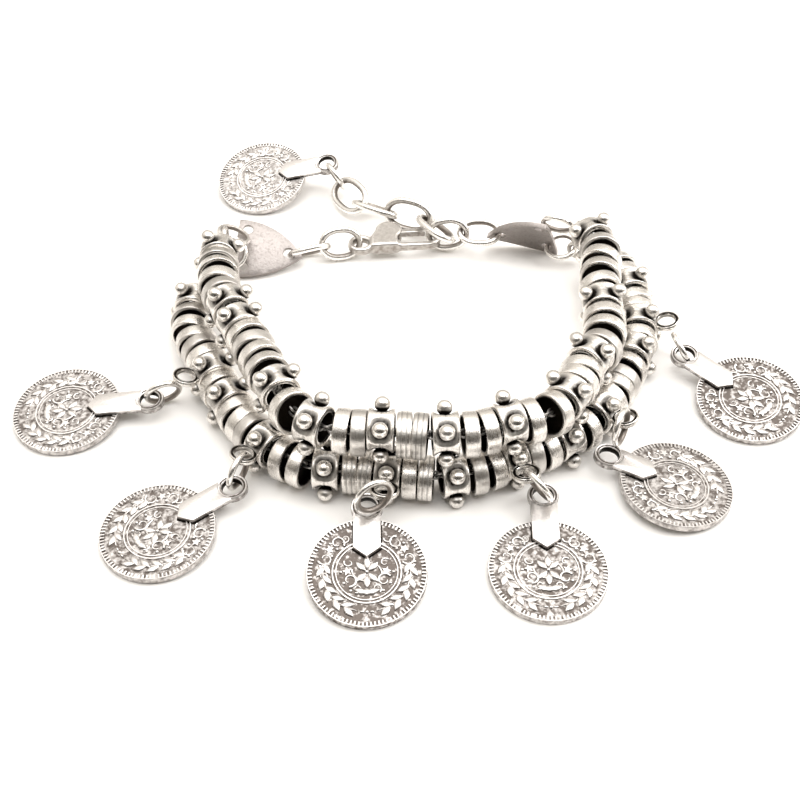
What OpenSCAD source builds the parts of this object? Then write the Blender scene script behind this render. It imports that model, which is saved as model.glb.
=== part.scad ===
// Coin bracelet in antique silver, lying closed on a flat surface.
// Two strands of threaded beads, one lying on the other, join two leaf-shaped end plates.
// Six coins hang round the outside, and a lobster claw closes the back on an extender
// chain that ends in a seventh coin. The origin is the middle of the wrist opening, at
// the height of the surface. +X runs along the front, and +Y points to the clasp.

/* [Coins] */
// Diameter of a coin
coin_d = 18; // [16:0.5:18.5]
// Thickness of a coin at its rim
coin_t = 1.1; // [0.9:0.1:1.2]
// Width of the raised rim of a coin
coin_rim_w = 0.9; // [0.6:0.1:1.2]
// Depth of the field of a coin below its rim
coin_field_depth = 0.25; // [0.15:0.05:0.35]
// Diameter of the raised ring round the middle of a coin
coin_ring_d = 9.6; // [8:0.2:10.4]

/* [Straps] */
// Width of the strap that is soldered on a coin
strap_w = 4.2; // [3.6:0.1:4.4]
// Height of the strap above the rim of its coin
strap_rise = 0.6; // [0.4:0.1:0.8]
// Outer diameter of the eyelet at the end of a strap
eyelet_d = 4.9; // [4.6:0.1:5]
// Diameter of the hole in an eyelet
eyelet_hole_d = 3.2; // [3:0.1:3.4]
// Thickness of an eyelet
eyelet_t = 1.2; // [1:0.1:1.3]

/* [Beads] */
// Outer diameter of a plain ring
ring_d = 7.4; // [7:0.1:7.4]
// Width of a plain ring along the thread
ring_w = 2.3; // [2:0.1:2.3]
// Wall of a plain ring
ring_wall = 0.75; // [0.6:0.05:0.9]
// Outer diameter of a granule bead at its two bands
bead_d = 6.9; // [6.5:0.1:6.9]
// Width of a granule bead along the thread
bead_w = 4.1; // [3.9:0.1:4.1]
// Width of each band of a granule bead
bead_band_w = 1; // [0.8:0.1:1.2]
// Depth of the groove between the bands
bead_groove = 0.45; // [0.3:0.05:0.5]
// Diameter of a granule
ball_d = 2.5; // [2.2:0.1:2.5]
// Diameter of the thread, a fine chain
thread_d = 2; // [1.6:0.1:2]

/* [Rings and chain] */
// Outer diameter of a jump ring
jump_d = 6.6; // [6.4:0.1:6.6]
// Wire of a jump ring
jump_wire = 1; // [0.8:0.1:1]
// Outer length of a chain link
link_l = 8.7; // [8.6:0.1:8.7]
// Outer width of a chain link
link_w = 6.6; // [6.5:0.1:6.6]
// Wire of a chain link
link_wire = 1.2; // [1:0.1:1.2]
// Outer length of a link of the extender
extender_l = 10.4; // [10.2:0.1:10.4]
// Outer width of a link of the extender
extender_w = 6.8; // [6.7:0.1:6.8]
// Wire of a link of the extender
extender_wire = 1.3; // [1.1:0.1:1.3]

/* [Plates and clasp] */
// Length of an end plate from its wide edge to its tip
plate_l = 12.8; // [12.4:0.2:12.8]
// Width of an end plate at its wide edge
plate_w = 11.8; // [11:0.2:11.8]
// Thickness of an end plate
plate_t = 0.9; // [0.7:0.1:1]
// Thickness of the clasp's body
clasp_t = 2.6; // [2.4:0.1:2.8]
// Turn of the clasp's lever from closed
lever_open = 0; // [0:1:20]

/* [Hidden] */
$fn = 64;

// Colours as the metal shows: polished bands, worn plates and dark recesses.
bright_silver = [0.86, 0.85, 0.83];
worn_silver = [0.72, 0.69, 0.66];
dark_silver = [0.38, 0.35, 0.33];

// Each coin: x, y of its middle, heading of its strap, lift of the strap end, roll about
// the strap, reach from its middle to its eyelet and from its middle to the strap's point.
COIN_X = 0;
COIN_Y = 1;
COIN_HEADING = 2;
COIN_LIFT = 3;
COIN_ROLL = 4;
COIN_REACH = 5;
COIN_POINT = 6;
coins = [
    [-57.4, -17.8, 5, 3, 5, 14, 3.6],
    [-38.6, -43.6, 35, 4, 0, 13.3, 3.6],
    [-6.4, -51.8, 91, 9, 0, 10.8, 2.2],
    [20.6, -50.8, 89, 3, 0, 13.5, 3.6],
    [42.2, -34.3, 154, 4, 3, 11.4, 3.4],
    [57.7, -15.4, 136, 4, -7, 13.5, 3.6],
    [-29.6, 47.6, 5, 9, 14, 13.5, 3.6]
];

// The thread of the outer strand, from the left end plate round the front to the right one.
outer_route = [
    [-34.6, 19.6, 2.4], [-36.4, 15, 3.6], [-37.8, 10, 4.4], [-38.6, 4, 4.5], [-38, -1.5, 4.5],
    [-35.2, -7, 4.5], [-31.8, -14.5, 4.5], [-28.1, -21, 4.5], [-24.6, -26, 4.5],
    [-20.3, -30.3, 4.5], [-14.5, -32.9, 4.5], [-8, -33.3, 4.5], [-1.6, -34.1, 4.5],
    [5, -34.8, 4.5], [11.2, -33.2, 4.5], [17, -30.4, 4.5], [23, -27.8, 4.5], [28.2, -24.2, 4.5],
    [32, -19.2, 4.5], [36, -12.5, 4.5], [39, -6, 4.5], [40.4, -0.5, 4.5], [40.6, 5.5, 4.5],
    [40.2, 11.5, 4.5], [39, 17, 4.2], [36, 21.6, 3.6], [32.2, 23.9, 3]
];
// The thread of the inner strand, which leans on the outer one.
inner_route = [
    [-34, 20.7, 8.6], [-34.1, 15.1, 10.2], [-33.8, 9.4, 11.4], [-33.3, 4.4, 11.9],
    [-31.7, -1, 12], [-28.6, -7.8, 12.1], [-25.6, -13.5, 12.2], [-22.7, -20, 12.3],
    [-19.4, -26.7, 12.4], [-15.1, -31.5, 12.5], [-9.4, -32.7, 12.5], [-3, -33.1, 12.5],
    [4.5, -33.8, 12.5], [10.4, -33, 12.5], [16.2, -31.1, 12.5], [21.8, -29.1, 12.4],
    [25.6, -24, 12.2], [28.7, -17.7, 12], [32, -12.5, 11.8], [33, -6.2, 11.8], [33.2, 0.4, 11.8],
    [33.9, 6.9, 11.7], [34.6, 12.4, 11.4], [34, 17.7, 10.4], [32.2, 22.1, 9]
];
// The beads in order: r is a plain ring, g a granule bead, d a granule bead with a drop's
// loop, j a granule bead joined to the strand's own solid, and - a short bare gap.
outer_chart = "grrrrr-drgrrrdrrgrrdrrgrrdrrgr-drrr-r-grdrrgrr";
inner_chart = "grrr-rg-j-rr-r-r--g--r-grrgrrgrrgr-rjrrgr-r-r-j-r--r--r-r--j";
// How far each granule bead is turned on the thread, in order. At 0 a granule points down.
outer_spins = [30, 35, 38, 38, 42, 45, 45, 45, 42, 40, 36, 32, 28];
inner_spins = [25, 32, 36, 40, 42, 45, 42, 45, 45, 42, 38, 32];
// The beads at which one solid of a strand ends and the next begins.
outer_breaks = [0, 12, 21, 29, 41];
inner_breaks = [0, 11, 19, 28, 37];
// The bare gap that a dash stands for, and the play between two beads.
gap_w = 0.6;
bead_play = 0.12;
// How far the upper strand's rings hang below the thread, and its granule beads ride above it.
ring_hang = 0.4;
bead_rise = 0.4;
// Bare thread before the first bead of each strand.
outer_lead = 11.6;
inner_lead = 6.3;
samples = 8;
// How far each rod of the thread runs past a joint, and how much thinner every other rod is.
rod_lap = 0.2;
rod_step = 0.06;

// The loop of wire that a drop's bead carries, and the loop at each end of a thread.
loop_d = 4.6;
loop_wire = 0.9;
loop_angle = 256;
loop_reach = 5;
end_loop_d = 3.9;
end_loop_wire = 0.9;
// How far each end loop starts inside the end of its route, and its roll at the two ends.
loop_in = 1.6;
outer_rolls = [0, 0];
inner_rolls = [0, 0];

// Each end plate: x, y, z of the middle of its wide edge, then its roll, pitch and yaw.
plate_left = [-32.8, 23.6, 4, 28, 8, -3];
plate_right = [27.5, 24.6, 5.8, 60, 10, 163];
plate_dome_r = 26;
plate_hole_d = 2;
plate_hole_in = 1.8;
plate_hole_out = 3.8;
tip_hole_d = 2.2;
tip_hole_in = 2.6;

// Each ring or link below: x, y, z of its middle, then its roll, pitch and yaw.
drop_rings = [
    [-41.4, -15.2, 3.3, 4, 71, 117],
    [-26.9, -33.8, 4.3, -6, 96, -31],
    [-5.4, -42.3, 8.1, 8, 87, -55],
    [19.7, -38, 5.9, 0, 67, 34],
    [34, -26.1, 6.3, -1, 84, -29],
    [47.6, -4.3, 3.4, 0, 62, 12]
];
end_rings = [
    [-33.5, 21.2, 4.4, 1, 136, 97],
    [-32.8, 22.9, 7.3, 0, 25, 24],
    [29.5, 25.3, 2.7, 0, 164, 41],
    [28, 23.3, 9.5, 2, 121, -104]
];
chain_links = [
    [-18.8, 24, 2.8, -45, -6, 13],
    [-12.9, 25.5, 3.3, 67, 4, 14],
    [7.7, 28.2, 3.5, 70, -13, -4],
    [13.8, 27.9, 4.1, 13, -1, -2]
];
extender_links = [
    [5.4, 29.2, 4.1, 32, 2, 123],
    [0.2, 33.7, 3.9, -65, 0, 158],
    [-6.3, 36.4, 3.4, 35, -1, 152],
    [-11.6, 41.4, 3.1, -38, 0, 125]
];
extender_ring_pose = [-14.5, 46.2, 4.4, 65, -9, 121];

// The clasp: x, y, z of the middle of its eye, then its turn about Z.
clasp_pose = [-9, 25.9, 2.6, 4.5];
clasp_eye_d = 5;
clasp_eye_hole_d = 3;
// The claw seen from above, from the middle of its eye: its pivot, jaw and hooked nose.
pivot_x = 5.6;
pivot_y = 3.2;
hub_r = 2.6;
jaw_w = 1.2;
jaw_t = 1.6;
nose_x = 12.8;
nose_y = 1.05;
nose_r = 1.55;
lever_r = 7;
lever_w = 1.2;
lever_t = 1.2;
lever_slot = 1.5;
pin_d = 1;
pin_play = 0.06;

function unit(v) = v / norm(v);
function tangled(a, b) = acos(min(1, max(-1, a * b)));

// A smooth path through the points of a route, and the length run at each of its points.
function eased(a, b, c, d, t) =
    (2 * b + (c - a) * t + (2 * a - 5 * b + 4 * c - d) * t * t + (3 * b - a - 3 * c + d) * t * t * t) / 2;
function smoothed(route) = [
    for (i = [0:len(route) - 2])
        for (j = [0:samples - 1])
            let (next = route[min(i + 2, len(route) - 1)])
            eased(route[max(i - 1, 0)], route[i], route[i + 1], next, j / samples),
    route[len(route) - 1]
];
function step_of(path, i) = i + 1 < len(path) ? norm(path[i + 1] - path[i]) : 0;
function runs(path) = [
    for (i = 0, s = 0; i < len(path); s = s + step_of(path, i), i = i + 1) s
];
function column(path, run, axis) = [for (i = [0:len(path) - 1]) [run[i], path[i][axis]]];
function columns(path) = let (run = runs(path)) [for (axis = [0:2]) column(path, run, axis)];
function along(thread, s) = [for (axis = [0:2]) lookup(s, thread[axis])];
// The direction of a bead of width w at s: the chord of the thread inside it.
function facing(thread, s, w) = unit(along(thread, s + w / 2) - along(thread, s - w / 2));

function width_of(kind) = kind == "r" ? ring_w : bead_w;
// The place of the next bead: its neighbours touch at the inside of a bend.
function next_place(thread, s, w0, w1, gap) =
    let (near = s + (w0 + w1) / 2 + gap + bead_play)
    let (bend = tangled(facing(thread, s, w0), facing(thread, near, w1)))
    near + bend * PI / 180 * ring_d / 2;
// The beads of a chart as [kind, place along the thread].
function strung(chart, thread, s, w0, i = 0, gap = 0) =
    i == len(chart) ? [] :
    chart[i] == "-" ? strung(chart, thread, s, w0, i + 1, gap + gap_w) :
    let (place = next_place(thread, s, w0, width_of(chart[i]), gap))
    concat([[chart[i], place]], strung(chart, thread, place, width_of(chart[i]), i + 1, 0));

outer_thread = columns(smoothed(outer_route));
inner_thread = columns(smoothed(inner_route));
outer_beads = strung(outer_chart, outer_thread, outer_lead, 1);
inner_beads = strung(inner_chart, inner_thread, inner_lead, 1);

function is_granule(bead) = bead[0] != "r";
// The numbers of the beads of some kinds, in order.
function numbered(beads, kinds) = [
    for (i = [0:len(beads) - 1]) if (len(search(beads[i][0], kinds)) > 0) i
];
outer_granules = numbered(outer_beads, "gdj");
inner_granules = numbered(inner_beads, "gdj");
function spin_of(i, granules, spins) = spins[search(i, granules)[0]];

// The radius at which the granules sit, and the height at which they carry a bead.
ball_r = bead_d / 2 - bead_groove + ball_d / 2 - 0.3;
function granule_height(spin) = max([for (k = [0:3]) ball_r * cos(spin + 90 * k)]) + ball_d / 2;
// The middle of a bead: the outer strand's beads rest on the surface, the inner's on theirs.
function bead_middle(thread, bead, spin, rests) =
    let (p = along(thread, bead[1]))
    let (slope = 0.05 + ring_w / 2 * abs(facing(thread, bead[1], ring_w).z))
    !rests ? p + [0, 0, bead[0] == "r" ? -ring_hang : bead[0] == "g" ? bead_rise : 0]
           : [p.x, p.y, (is_granule(bead) ? granule_height(spin) : ring_d / 2) + slope];
function outer_middle(i) =
    bead_middle(outer_thread, outer_beads[i], spin_of(i, outer_granules, outer_spins), true);
function inner_middle(i) =
    bead_middle(inner_thread, inner_beads[i], spin_of(i, inner_granules, inner_spins), false);

// The height of the middle of an eyelet, and the middle of a coin's underside.
eyelet_z = coin_t + strap_rise - eyelet_t / 2;
function tilt_of(c) = acos(cos(c[COIN_ROLL]) * cos(c[COIN_LIFT]));
function coin_seat(c) = [c[COIN_X], c[COIN_Y], coin_d / 2 * sin(tilt_of(c)) + 0.02];
drops = numbered(outer_beads, "d");

// A shape made about +Z, stood at a point with its axis along a direction.
module stood(p, d, spin = 0) {
    translate(p) rotate([0, acos(d.z), atan2(d.y, d.x)]) rotate([0, 0, spin]) children();
}

// A shape stood by a row of x, y, z, roll, pitch and yaw.
module posed(row) {
    translate([row[0], row[1], row[2]]) rotate([row[3], row[4], row[5]]) children();
}

// A ring of round wire about +Z.
module wire_ring(outer_d, wire) {
    rotate_extrude() translate([(outer_d - wire) / 2, 0]) circle(d = wire, $fn = 24);
}

// A jump ring stood by its row.
module jump_ring(row) {
    color(bright_silver) posed(row) wire_ring(jump_d, jump_wire);
}

// A struck coin with its soldered strap and eyelet, all one piece.
module coin(number) {
    c = coins[number - 1];
    field_z = coin_t - coin_field_depth;
    reach = c[COIN_REACH];
    point = c[COIN_POINT];
    translate(coin_seat(c)) rotate([c[COIN_ROLL], -c[COIN_LIFT], c[COIN_HEADING]])
    difference() {
        union() {
            color(dark_silver) cylinder(d = coin_d, h = field_z);
            color(bright_silver) raised_ring(coin_d, coin_rim_w, coin_t);
            color(bright_silver) raised_ring(coin_ring_d, 0.5, coin_t);
            color(bright_silver) translate([0, 0, field_z - 0.1])
                linear_extrude(coin_t + strap_rise - field_z + 0.1)
                    polygon([[point, 0], [point + 1.6, strap_w / 2], [reach, strap_w / 2],
                             [reach, -strap_w / 2], [point + 1.6, -strap_w / 2]]);
            color(bright_silver) translate([reach, 0, eyelet_z - eyelet_t / 2])
                cylinder(d = eyelet_d, h = eyelet_t);
        }
        translate([reach, 0, -1]) cylinder(d = eyelet_hole_d, h = 5);
    }
}

// A flat ring that stands up from a coin's underside to a height.
module raised_ring(outer_d, width, height) {
    difference() {
        cylinder(d = outer_d, h = height);
        translate([0, 0, -1]) cylinder(d = outer_d - 2 * width, h = height + 2);
    }
}

// A plain ring with its softly rounded band, joined to the thread by a thin disc at its middle.
module plain_ring() {
    inner = ring_d / 2 - ring_wall;
    edge = ring_d / 2 - 0.15;
    color(bright_silver) rotate_extrude() polygon([
        [0, -0.3], [inner, -0.3], [inner, -ring_w / 2], [edge, -ring_w / 2], [ring_d / 2, -ring_w / 5],
        [ring_d / 2, ring_w / 5], [edge, ring_w / 2], [inner, ring_w / 2], [inner, 0.3], [0, 0.3]
    ]);
}

// A granule bead: a tube with a band at each end and four granules in the groove between.
module granule_bead() {
    difference() {
        union() {
            color(dark_silver) cylinder(d = bead_d - 2 * bead_groove, h = bead_w, center = true);
            for (side = [-1, 1])
                color(bright_silver) translate([0, 0, side * (bead_w - bead_band_w) / 2])
                    cylinder(d = bead_d, h = bead_band_w, center = true);
            for (k = [0:3])
                color(bright_silver) rotate([0, 0, 90 * k]) translate([ball_r, 0, 0])
                    sphere(d = ball_d, $fn = 32);
        }
        cylinder(d = bead_d - 2 * bead_groove - 1.2, h = bead_w + 2, center = true);
    }
}

// The same bead with a web, for the ones that are joined to their strand.
module joined_bead() {
    granule_bead();
    color(dark_silver) cylinder(d = bead_d - 2 * bead_groove - 1, h = 0.6, center = true);
}

module outer_bead(i) {
    spin = spin_of(i, outer_granules, outer_spins);
    d = facing(outer_thread, outer_beads[i][1], bead_w);
    stood(outer_middle(i), d, spin) granule_bead();
}

module inner_bead(i) {
    spin = spin_of(i, inner_granules, inner_spins);
    stood(inner_middle(i), facing(inner_thread, inner_beads[i][1], bead_w), spin) granule_bead();
}

// The granule beads that stand alone, outer strand first, then inner.
outer_own = numbered(outer_beads, "g");
inner_own = numbered(inner_beads, "g");

module own_bead(number) {
    if (number <= len(outer_own)) outer_bead(outer_own[number - 1]);
    else inner_bead(inner_own[number - len(outer_own) - 1]);
}

// The bead of a coin drop: a granule bead with a loop of wire soldered under one granule.
module drop_bead(number) {
    i = drops[number - 1];
    d = facing(outer_thread, outer_beads[i][1], bead_w);
    difference() {
        union() {
            outer_bead(i);
            color(bright_silver) stood(outer_middle(i), d, loop_angle)
                translate([loop_reach, 0, 0]) rotate([90, 0, 0]) wire_ring(loop_d, loop_wire);
        }
        stood(outer_middle(i), d) cylinder(d = bead_d - 2 * bead_groove - 1.2, h = bead_w + 2, center = true);
    }
}

// One solid of a strand: the thread from the middle of one bead to the middle of another,
// with all the plain rings and joined beads that it carries. It runs out to the end loops.
module strand(thread, beads, granules, spins, breaks, number, rests, rolls) {
    from = breaks[number - 1];
    to = breaks[number];
    start = number == 1 ? loop_in : beads[from][1] + 0.1;
    end = number == 4 ? run_length(thread) - loop_in : beads[to][1] - 0.1;
    inside = [for (i = [from + (number == 1 ? 0 : 1):to - (number == 4 ? 0 : 1)]) beads[i][1]];
    color(dark_silver) thread_run(thread, concat([start], inside, [end]));
    if (number == 1) end_loop(thread, loop_in, loop_in + 1, rolls[0]);
    if (number == 4) end_loop(thread, end, end - 1, rolls[1]);
    for (i = [from:to]) {
        if (beads[i][0] == "r")
            stood(bead_middle(thread, beads[i], 0, rests), facing(thread, beads[i][1], ring_w)) plain_ring();
        if (beads[i][0] == "j")
            stood(bead_middle(thread, beads[i], spin_of(i, granules, spins), rests),
                  facing(thread, beads[i][1], bead_w), spin_of(i, granules, spins)) joined_bead();
    }
}

// The thread itself: straight rods from web to web, that run a little past each joint.
module thread_run(thread, places) {
    for (i = [0:len(places) - 2]) {
        p = along(thread, places[i]);
        q = along(thread, places[i + 1]);
        before = i > 0 ? rod_lap : 0;
        after = i < len(places) - 2 ? rod_lap : 0;
        stood(p - before * unit(q - p), unit(q - p))
            cylinder(d = thread_d - rod_step * (i % 2), h = norm(q - p) + before + after);
    }
}

// The middle of the loop that ends a thread at a place, seen from a place further in.
function loop_middle(thread, s, inner_s) =
    along(thread, s) + unit(along(thread, s) - along(thread, inner_s)) * (end_loop_d / 2 - 0.4);
module end_loop(thread, s, inner_s, roll) {
    d = unit(along(thread, s) - along(thread, inner_s));
    color(bright_silver) stood(loop_middle(thread, s, inner_s), d, roll) rotate([90, 0, 0])
        wire_ring(end_loop_d, end_loop_wire);
}

function run_length(thread) = thread[0][len(thread[0]) - 1][0];

module strand_outer(number) {
    strand(outer_thread, outer_beads, outer_granules, outer_spins, outer_breaks, number, true, outer_rolls);
}

module strand_inner(number) {
    strand(inner_thread, inner_beads, inner_granules, inner_spins, inner_breaks, number, false, inner_rolls);
}

// An end plate: a pointed arch cut from a shallow dome, with a hole at each corner.
module end_plate(plate) {
    arch_r = (plate_w * plate_w / 4 + plate_l * plate_l) / plate_w;
    color(worn_silver) posed(plate) difference() {
        intersection() {
            translate([0, 0, -4]) linear_extrude(8) intersection() {
                translate([0, plate_w / 2 - arch_r]) circle(r = arch_r, $fn = 180);
                translate([0, arch_r - plate_w / 2]) circle(r = arch_r, $fn = 180);
                translate([0, -plate_w]) square([plate_l + 2, 2 * plate_w]);
            }
            translate([plate_l * 0.45, 0, -plate_dome_r]) difference() {
                sphere(r = plate_dome_r + plate_t, $fn = 180);
                sphere(r = plate_dome_r, $fn = 180);
            }
        }
        for (side = [-1, 1])
            translate([plate_hole_in, side * plate_hole_out, -4]) cylinder(d = plate_hole_d, h = 8);
        translate([plate_l - tip_hole_in, 0, -4]) cylinder(d = tip_hole_d, h = 8);
    }
}

// A cable link: two half rings and two straight sides of round wire, long along X.
module cable_link(row, long, wide, wire) {
    end_r = (wide - wire) / 2;
    half = (long - wide) / 2;
    color(bright_silver) posed(row) {
        for (side = [-1, 1]) {
            translate([side * half, 0, 0]) rotate([0, 0, -90 * side])
                rotate_extrude(angle = 180) translate([end_r, 0]) circle(d = wire, $fn = 24);
            translate([0, side * end_r, 0]) rotate([0, 90, 0])
                cylinder(d = wire, h = 2 * half, center = true, $fn = 24);
        }
    }
}

module chain_link(number) {
    cable_link(chain_links[number - 1], link_l, link_w, link_wire);
}

module extender_link(number) {
    cable_link(extender_links[number - 1], extender_l, extender_w, extender_wire);
}

// The claw seen from above. The jaw and the nose hold a link, and the lever closes them.
module claw_outline() {
    difference() {
        union() {
            circle(d = clasp_eye_d);
            translate([1.5, nose_y - nose_r - jaw_w]) square([nose_x - 1.5, jaw_w]);
            translate([nose_x, nose_y]) circle(r = nose_r + jaw_w);
        }
        circle(d = clasp_eye_hole_d);
        translate([nose_x, nose_y]) circle(r = nose_r);
        translate([clasp_eye_d / 2, nose_y - nose_r]) square([nose_x - clasp_eye_d / 2, 2 * nose_r + 3]);
    }
}

// The thicker body between the eye and the jaw, which the lever turns in.
module body_outline() {
    low = nose_y - nose_r - jaw_w;
    translate([pivot_x, pivot_y]) circle(r = hub_r);
    polygon([
        [1.9, low], [7.2, low], [7.2, pivot_y], [pivot_x - 1.5, pivot_y + 2], [2, 1.4]
    ]);
}

module clasp_stood() {
    translate([clasp_pose[0], clasp_pose[1], clasp_pose[2]]) rotate([0, 0, clasp_pose[3]]) children();
}

module clasp_body() {
    color(bright_silver) clasp_stood() {
        difference() {
            union() {
                translate([0, 0, -jaw_t / 2]) linear_extrude(jaw_t) claw_outline();
                translate([0, 0, -clasp_t / 2]) linear_extrude(clasp_t) body_outline();
            }
            translate([pivot_x - 1.9, pivot_y - 2.1, -lever_slot / 2])
                cube([nose_x - pivot_x + 1.9, 6, lever_slot]);
            translate([0, 0, -clasp_t]) cylinder(d = clasp_eye_hole_d, h = 2 * clasp_t);
        }
        translate([pivot_x, pivot_y, 0]) cylinder(d = pin_d, h = clasp_t - 0.2, center = true);
    }
}

// The lever: a hub on the pin and a bar that closes on the nose.
module clasp_lever() {
    bar_y = nose_y + nose_r - pivot_y;
    color(bright_silver) clasp_stood() translate([pivot_x, pivot_y, -lever_t / 2]) rotate([0, 0, -lever_open])
        difference() {
            union() {
                cylinder(d = 3, h = lever_t);
                translate([0, bar_y, 0]) cube([lever_r, lever_w, lever_t]);
            }
            translate([0, 0, -1]) cylinder(d = pin_d + 2 * pin_play, h = lever_t + 2);
        }
}

coin(1);  // coin_1
coin(2);  // coin_2
coin(3);  // coin_3
coin(4);  // coin_4
coin(5);  // coin_5
coin(6);  // coin_6
coin(7);  // coin_7
drop_bead(1);  // drop_bead_1
drop_bead(2);  // drop_bead_2
drop_bead(3);  // drop_bead_3
drop_bead(4);  // drop_bead_4
drop_bead(5);  // drop_bead_5
drop_bead(6);  // drop_bead_6
own_bead(1);  // granule_bead_1
own_bead(2);  // granule_bead_2
own_bead(3);  // granule_bead_3
own_bead(4);  // granule_bead_4
own_bead(5);  // granule_bead_5
own_bead(6);  // granule_bead_6
own_bead(7);  // granule_bead_7
own_bead(8);  // granule_bead_8
own_bead(9);  // granule_bead_9
own_bead(10);  // granule_bead_10
own_bead(11);  // granule_bead_11
own_bead(12);  // granule_bead_12
own_bead(13);  // granule_bead_13
own_bead(14);  // granule_bead_14
own_bead(15);  // granule_bead_15
strand_outer(1);  // strand_outer_1
strand_outer(2);  // strand_outer_2
strand_outer(3);  // strand_outer_3
strand_outer(4);  // strand_outer_4
strand_inner(1);  // strand_inner_1
strand_inner(2);  // strand_inner_2
strand_inner(3);  // strand_inner_3
strand_inner(4);  // strand_inner_4
jump_ring(drop_rings[0]);  // drop_ring_1
jump_ring(drop_rings[1]);  // drop_ring_2
jump_ring(drop_rings[2]);  // drop_ring_3
jump_ring(drop_rings[3]);  // drop_ring_4
jump_ring(drop_rings[4]);  // drop_ring_5
jump_ring(drop_rings[5]);  // drop_ring_6
jump_ring(end_rings[0]);  // end_ring_1
jump_ring(end_rings[1]);  // end_ring_2
jump_ring(end_rings[2]);  // end_ring_3
jump_ring(end_rings[3]);  // end_ring_4
end_plate(plate_left);  // end_plate_left
end_plate(plate_right);  // end_plate_right
chain_link(1);  // chain_link_1
chain_link(2);  // chain_link_2
chain_link(3);  // chain_link_3
chain_link(4);  // chain_link_4
extender_link(1);  // extender_link_1
extender_link(2);  // extender_link_2
extender_link(3);  // extender_link_3
extender_link(4);  // extender_link_4
jump_ring(extender_ring_pose);  // extender_ring
clasp_body();
clasp_lever();
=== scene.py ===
"""Looks of the coin bracelet: antique silver beads, coins, chain and clasp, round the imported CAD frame."""

import logging
import math
from collections.abc import Callable, Sequence
from dataclasses import dataclass, field
from enum import Enum
from itertools import count

import bpy
from mathutils import Matrix, Vector

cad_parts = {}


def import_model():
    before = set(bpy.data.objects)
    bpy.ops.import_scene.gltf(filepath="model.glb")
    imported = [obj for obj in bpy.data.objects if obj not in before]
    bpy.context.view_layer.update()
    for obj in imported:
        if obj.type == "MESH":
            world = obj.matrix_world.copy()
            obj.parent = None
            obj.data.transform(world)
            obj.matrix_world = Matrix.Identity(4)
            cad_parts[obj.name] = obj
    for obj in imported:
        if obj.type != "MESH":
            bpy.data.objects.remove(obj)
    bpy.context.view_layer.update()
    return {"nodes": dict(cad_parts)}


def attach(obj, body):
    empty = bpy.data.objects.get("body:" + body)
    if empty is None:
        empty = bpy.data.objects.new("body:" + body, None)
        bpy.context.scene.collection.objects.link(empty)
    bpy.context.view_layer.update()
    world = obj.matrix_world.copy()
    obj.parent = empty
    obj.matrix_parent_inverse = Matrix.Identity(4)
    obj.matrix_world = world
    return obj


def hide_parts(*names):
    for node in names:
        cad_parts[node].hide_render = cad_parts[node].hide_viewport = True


MM = 0.001
WELD = 0.0005
BRACELET = "bracelet"
LEVER = "lever"
# Levels of darkness: bright metal, black oxide or painted shade, and the near black of painted shadow.
BRIGHT, BLACK, DEEP_SHADOW = 0.0, 1.0, 2.0
log = logging.getLogger("bracelet")

Shape = bpy.types.Object
Socket = bpy.types.NodeSocket
Profile = Sequence[tuple[float, float]]
Row = tuple[float, float, float, float, float, float]
Shade = Callable[[Vector, Vector], float]


class Slot(Enum):
    """The finishes of the bracelet, by the slot that the record gives each."""

    BEAD = "bead_silver"
    COIN = "coin_silver"
    PLATE = "plate_silver"
    CHAIN = "chain_silver"


class Bead(Enum):
    """What each letter of a strand's chart stands for."""

    RING = "r"
    GRANULE = "g"
    DROP = "d"
    JOINED = "j"


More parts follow.
